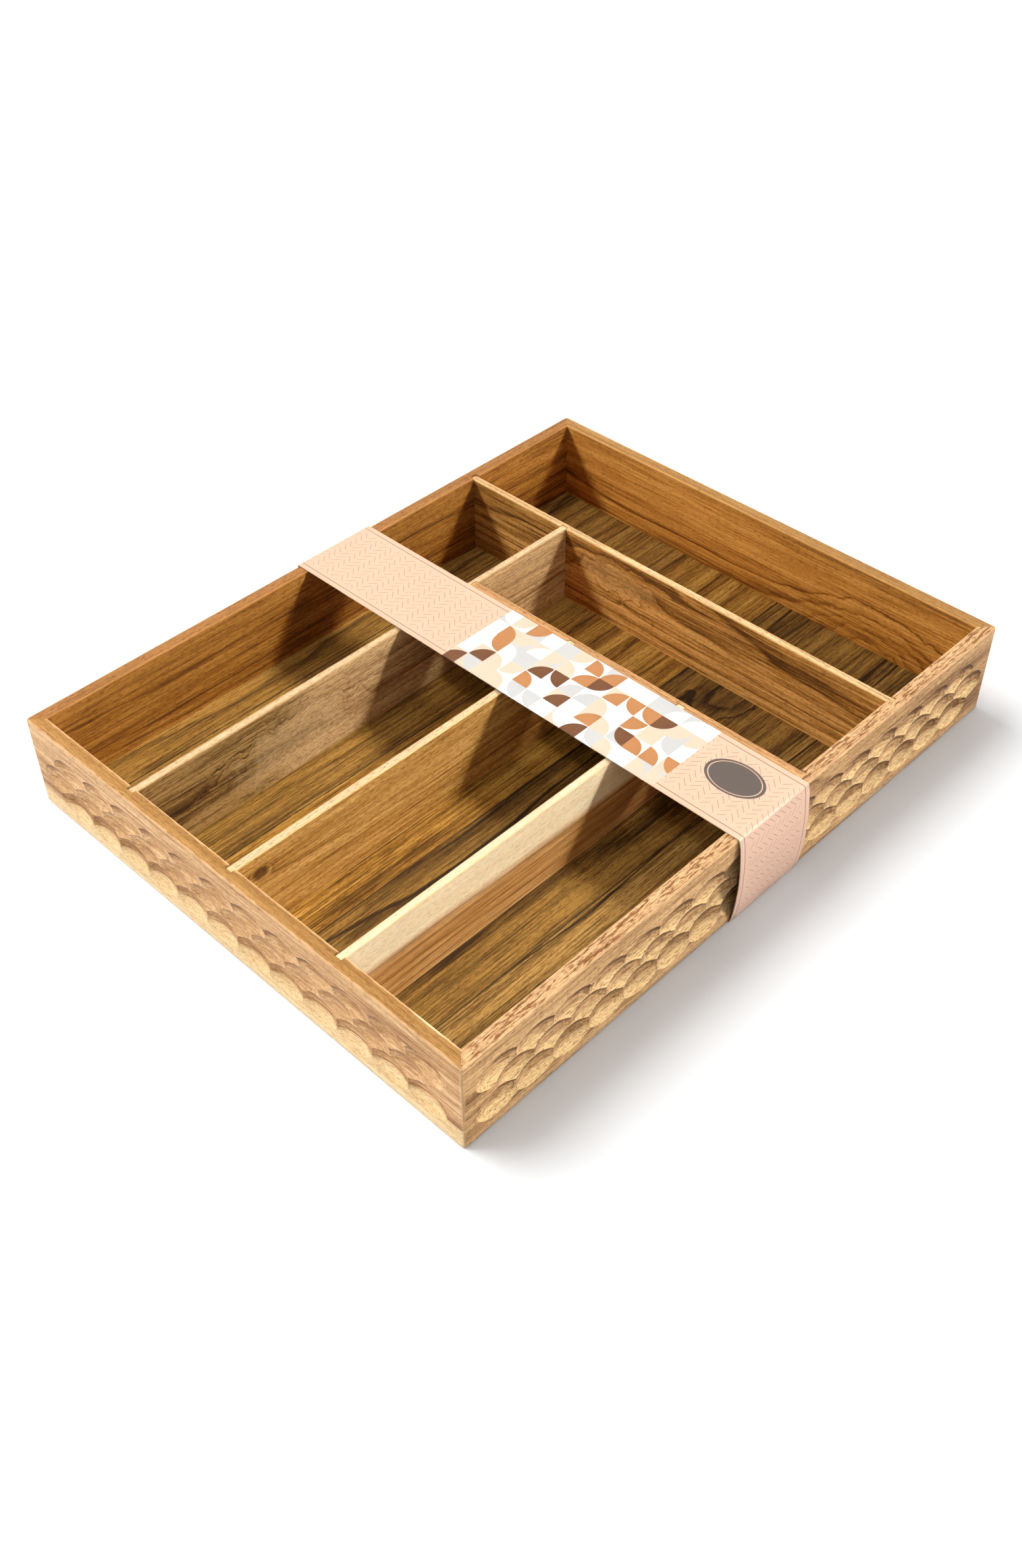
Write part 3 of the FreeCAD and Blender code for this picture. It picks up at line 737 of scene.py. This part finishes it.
sleevePrint = {
    "peach": (210, 172, 146), "ink": (92, 66, 48), "dashPitch": 0.0046, "dashLength": 0.006,
    "dashWidth": 0.1, "borderInset": 0.0035, "borderWidth": 0.00045,
    "panelFrom": -0.046, "panelTo": 0.118, "tile": 0.0121,
    "white": (208, 207, 205), "grey": (180, 179, 177), "cream": (202, 180, 156), "tan": (172, 116, 68),
    "brown": (104, 62, 34), "badge": (84, 76, 70), "badgeAt": (0.147, 0.012), "badgeSize": (0.019, 0.013),
}


def printMaterial():
    p = sleevePrint
    material = bpy.data.materials.new("sleevePrint")
    material.use_nodes = True
    tree = material.node_tree
    shader = tree.nodes["Principled BSDF"]
    wrap = put(tree, "ShaderNodeUVMap", uv_map="wrap").outputs[0]
    parts = put(tree, "ShaderNodeSeparateXYZ", {0: wrap}).outputs
    u, v = parts[0], parts[1]
    ink, peach = paint(*p["ink"]), paint(*p["peach"])
    # herringbone of fine dashes: the slant changes from one column to the next
    column = calc(tree, "FLOOR", calc(tree, "DIVIDE", u, p["dashLength"]))
    slant = calc(tree, "MULTIPLY", calc(tree, "SUBTRACT", calc(tree, "PINGPONG", column, 1.0), 0.5), 2.0)
    lean = calc(tree, "ADD", v, calc(tree, "MULTIPLY", slant, u))
    saw = calc(tree, "FRACT", calc(tree, "DIVIDE", lean, p["dashPitch"]))
    dash = calc(tree, "LESS_THAN", saw, p["dashWidth"])
    inColumn = calc(tree, "PINGPONG", calc(tree, "FRACT", calc(tree, "DIVIDE", u, p["dashLength"])), 0.5)
    dash = calc(tree, "MULTIPLY", dash, calc(tree, "GREATER_THAN", inColumn, 0.13))
    fromMiddle = calc(tree, "ABSOLUTE", calc(tree, "SUBTRACT", v, 0.0066))
    inField = calc(tree, "LESS_THAN", fromMiddle, 0.0235)
    dash = calc(tree, "MULTIPLY", calc(tree, "MULTIPLY", dash, inField), 0.7)
    # one thin line along each edge
    border = calc(tree, "ABSOLUTE", calc(tree, "SUBTRACT", fromMiddle, 0.03025 - p["borderInset"]))
    border = calc(tree, "LESS_THAN", border, p["borderWidth"] / 2)
    colour = blendColours(tree, calc(tree, "MAXIMUM", dash, border), peach, ink)
    # mosaic of quarter discs on square tiles in whites and wood tones
    tileU = calc(tree, "DIVIDE", u, p["tile"])
    tileV = calc(tree, "DIVIDE", calc(tree, "SUBTRACT", v, 0.0066 - 0.03025), p["tile"])
    cell = put(tree, "ShaderNodeCombineXYZ", {0: calc(tree, "FLOOR", tileU), 1: calc(tree, "FLOOR", tileV)}).outputs[0]
    dice = put(tree, "ShaderNodeTexWhiteNoise", {"Vector": cell}, noise_dimensions="2D")
    second = put(tree, "ShaderNodeTexWhiteNoise",
                 {"Vector": put(tree, "ShaderNodeVectorMath", {0: cell, 1: (7.3, 3.1, 0.0)}).outputs[0]},
                 noise_dimensions="2D")
    flips = put(tree, "ShaderNodeSeparateColor", {0: dice.outputs["Color"]}).outputs
    flipU = calc(tree, "GREATER_THAN", flips[0], 0.5)
    flipV = calc(tree, "GREATER_THAN", flips[1], 0.5)
    fu = calc(tree, "ABSOLUTE", calc(tree, "SUBTRACT", calc(tree, "FRACT", tileU), flipU))
    fv = calc(tree, "ABSOLUTE", calc(tree, "SUBTRACT", calc(tree, "FRACT", tileV), flipV))
    radius = calc(tree, "SQRT", calc(tree, "ADD", calc(tree, "MULTIPLY", fu, fu), calc(tree, "MULTIPLY", fv, fv)))
    inside = calc(tree, "LESS_THAN", radius, 0.96)

    def choose(chance, colours):
        ramp = put(tree, "ShaderNodeValToRGB", {"Fac": chance})
        ramp.color_ramp.interpolation = "CONSTANT"
        stops = ramp.color_ramp.elements
        stops[0].position, stops[0].color = 0.0, paint(*colours[0])
        stops[1].position, stops[1].color = 1 - 1 / len(colours), paint(*colours[-1])
        for number, item in enumerate(colours[1:-1], start=1):
            stops.new(number / len(colours)).color = paint(*item)
        return ramp.outputs["Color"]

    ground = choose(second.outputs["Value"], [p["white"], p["grey"], p["white"], p["cream"]])
    disc = choose(dice.outputs["Value"], [p["white"], p["tan"], p["cream"], p["brown"], p["white"], p["tan"], p["grey"]])
    mosaic = blendColours(tree, inside, ground, disc)
    inPanel = calc(tree, "MULTIPLY", calc(tree, "GREATER_THAN", u, p["panelFrom"]), calc(tree, "LESS_THAN", u, p["panelTo"]))
    colour = blendColours(tree, inPanel, colour, mosaic)
    # plain dark badge with a thin pale line inside its rim
    du = calc(tree, "DIVIDE", calc(tree, "SUBTRACT", u, p["badgeAt"][0]), p["badgeSize"][0])
    dv = calc(tree, "DIVIDE", calc(tree, "SUBTRACT", v, p["badgeAt"][1]), p["badgeSize"][1])
    badge = calc(tree, "SQRT", calc(tree, "ADD", calc(tree, "MULTIPLY", du, du), calc(tree, "MULTIPLY", dv, dv)))
    colour = blendColours(tree, calc(tree, "LESS_THAN", badge, 1.0), colour, paint(*p["badge"]))
    line = calc(tree, "LESS_THAN", calc(tree, "ABSOLUTE", calc(tree, "SUBTRACT", badge, 0.88)), 0.018)
    colour = blendColours(tree, line, colour, peach)
    # slight unevenness of ink and card
    place = put(tree, "ShaderNodeTexCoord").outputs["Object"]
    pulp = cloud(tree, stretched(tree, place, (700.0, 700.0, 700.0)), 3.0)
    colour = blendColours(tree, calc(tree, "MULTIPLY", pulp, 0.12), colour, paint(150, 120, 96))
    tree.links.new(colour, shader.inputs["Base Color"])
    tree.links.new(calc(tree, "ADD", calc(tree, "MULTIPLY", pulp, 0.15), 0.3), shader.inputs["Roughness"])
    bump = put(tree, "ShaderNodeBump", {"Height": pulp, "Strength": 0.08, "Distance": 0.0001})
    tree.links.new(bump.outputs["Normal"], shader.inputs["Normal"])
    return material


sleevePiece.data.materials.clear()
for material in (printMaterial(), cardMaterial("cardInside", (214, 203, 186), 0.8), cardMaterial("cardEdge", (242, 236, 224), 0.8)):
    sleevePiece.data.materials.append(material)
print("stage: sleeve materials")


# Floor, light and camera

studio = {
    "floorTone": (0.93, 0.93, 0.93, 1.0), "rim": 1.08, "horizon": 0.6, "zenith": 0.15,
    "keyAt": (0.95, 1.15, 1.55), "keySpread": 14.0, "keyPower": 4.2,
    "sideAt": (-0.95, -0.85, 1.3), "sideSpread": 12.0, "sidePower": 3.3,
    "fillAt": (-0.3, -0.6, 1.2), "fillSpread": 80.0, "fillPower": 2.2,
    "groundAt": (-0.9, -0.35, 1.3), "groundSpread": 40.0, "groundPower": 2.5,
    "overAt": (0.0, 0.0, 2.0), "overSpread": 110.0, "overPower": 1.35,
}

deselectAll()
bpy.ops.mesh.primitive_plane_add(size=24)
ground = bpy.context.object
ground.name = "studioFloor"
groundMaterial = bpy.data.materials.new("paleFloor")
groundMaterial.use_nodes = True
groundShader = groundMaterial.node_tree.nodes["Principled BSDF"]
groundShader.inputs["Base Color"].default_value = studio["floorTone"]
groundShader.inputs["Roughness"].default_value = 0.9
ground.data.materials.append(groundMaterial)


def addLamp(name, place, spread, power):
    # a far lamp, aimed at the tray; spread is its width in degrees
    deselectAll()
    bpy.ops.object.light_add(type="SUN", location=place)
    lamp = bpy.context.object
    lamp.name = name
    lamp.data.angle = math.radians(spread)
    lamp.data.energy = power
    lamp.rotation_euler = Vector(place).to_track_quat("Z", "Y").to_euler()
    return lamp


def linkLamp(lamp, pieces, state):
    # leaves the pieces out of a lamp's light, or gives the lamp to them alone
    lit = bpy.data.collections.new(f"{lamp.name}Light")
    for number, piece in enumerate(pieces):
        lit.objects.link(piece)
        lit.collection_objects[number].light_linking.link_state = state
    lamp.light_linking.receiver_collection = lit


keyLamp = addLamp("keyLamp", studio["keyAt"], studio["keySpread"], studio["keyPower"])
sideLamp = addLamp("sideLamp", studio["sideAt"], studio["sideSpread"], studio["sidePower"])
fillLamp = addLamp("fillLamp", studio["fillAt"], studio["fillSpread"], studio["fillPower"])
groundLamp = addLamp("groundLamp", studio["groundAt"], studio["groundSpread"], studio["groundPower"])
overLamp = addLamp("overLamp", studio["overAt"], studio["overSpread"], studio["overPower"])
crossDividers = [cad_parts[f"{end}_cross_divider"] for end in ("front", "rear")]
linkLamp(keyLamp, [ground], "EXCLUDE")
linkLamp(fillLamp, [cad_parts[n] for n in boardLooks if "cross" not in n], "INCLUDE")
linkLamp(sideLamp, [*wallPieces.values(), *crossDividers, sleevePiece], "INCLUDE")
for lamp in (groundLamp, overLamp):
    linkLamp(lamp, [ground], "INCLUDE")

bpy.context.scene.view_settings.view_transform = "Standard"
world = bpy.context.scene.world or bpy.data.worlds.new("studioWorld")
bpy.context.scene.world = world
world.use_nodes = True
# tall white screens stand round the set, so the sky is brighter low down
skyTree = world.node_tree
skyHeight = put(skyTree, "ShaderNodeSeparateXYZ", {0: put(skyTree, "ShaderNodeTexCoord").outputs["Generated"]}).outputs[2]
skyLevel = fade(skyTree, skyHeight, 0.1, 0.9, studio["horizon"], studio["zenith"])
skyRim = fade(skyTree, skyHeight, 0.03, 0.1, studio["rim"] - studio["horizon"], 0.0)
skyLevel = calc(skyTree, "ADD", skyLevel, skyRim)
skyTree.nodes["Background"].inputs["Color"].default_value = (0.93, 0.97, 1.0, 1)
skyTree.links.new(skyLevel, skyTree.nodes["Background"].inputs["Strength"])

# The camera stands high off the tray's front right corner
view = {
    "azimuth": 44.4675, "elevation": 43.4681, "roll": -0.5009, "distance": 0.92082,
    "target": (0.036276, -0.049966, 0.0305), "focalPixels": 2425.49, "imageHeight": 2380,
}


def addCamera():
    azimuth, elevation, roll = [math.radians(view[n]) for n in ("azimuth", "elevation", "roll")]
    back = Vector((math.sin(azimuth) * math.cos(elevation), -math.cos(azimuth) * math.cos(elevation), math.sin(elevation)))
    across = Vector((0, 0, 1)).cross(back).normalized()
    up = back.cross(across)
    right = across * math.cos(roll) + up * math.sin(roll)
    top = up * math.cos(roll) - across * math.sin(roll)
    camera = bpy.data.objects.new("photoCamera", bpy.data.cameras.new("photoCamera"))
    bpy.context.scene.collection.objects.link(camera)
    turn = Matrix((right, top, back)).transposed().to_4x4()
    camera.matrix_world = Matrix.Translation(Vector(view["target"]) + back * view["distance"]) @ turn
    camera.data.sensor_fit = "VERTICAL"
    camera.data.sensor_height = 24.0
    camera.data.lens = view["focalPixels"] * 24.0 / view["imageHeight"]
    camera.data.clip_end = 50
    bpy.context.scene.camera = camera


addCamera()
print("stage: camera and light")
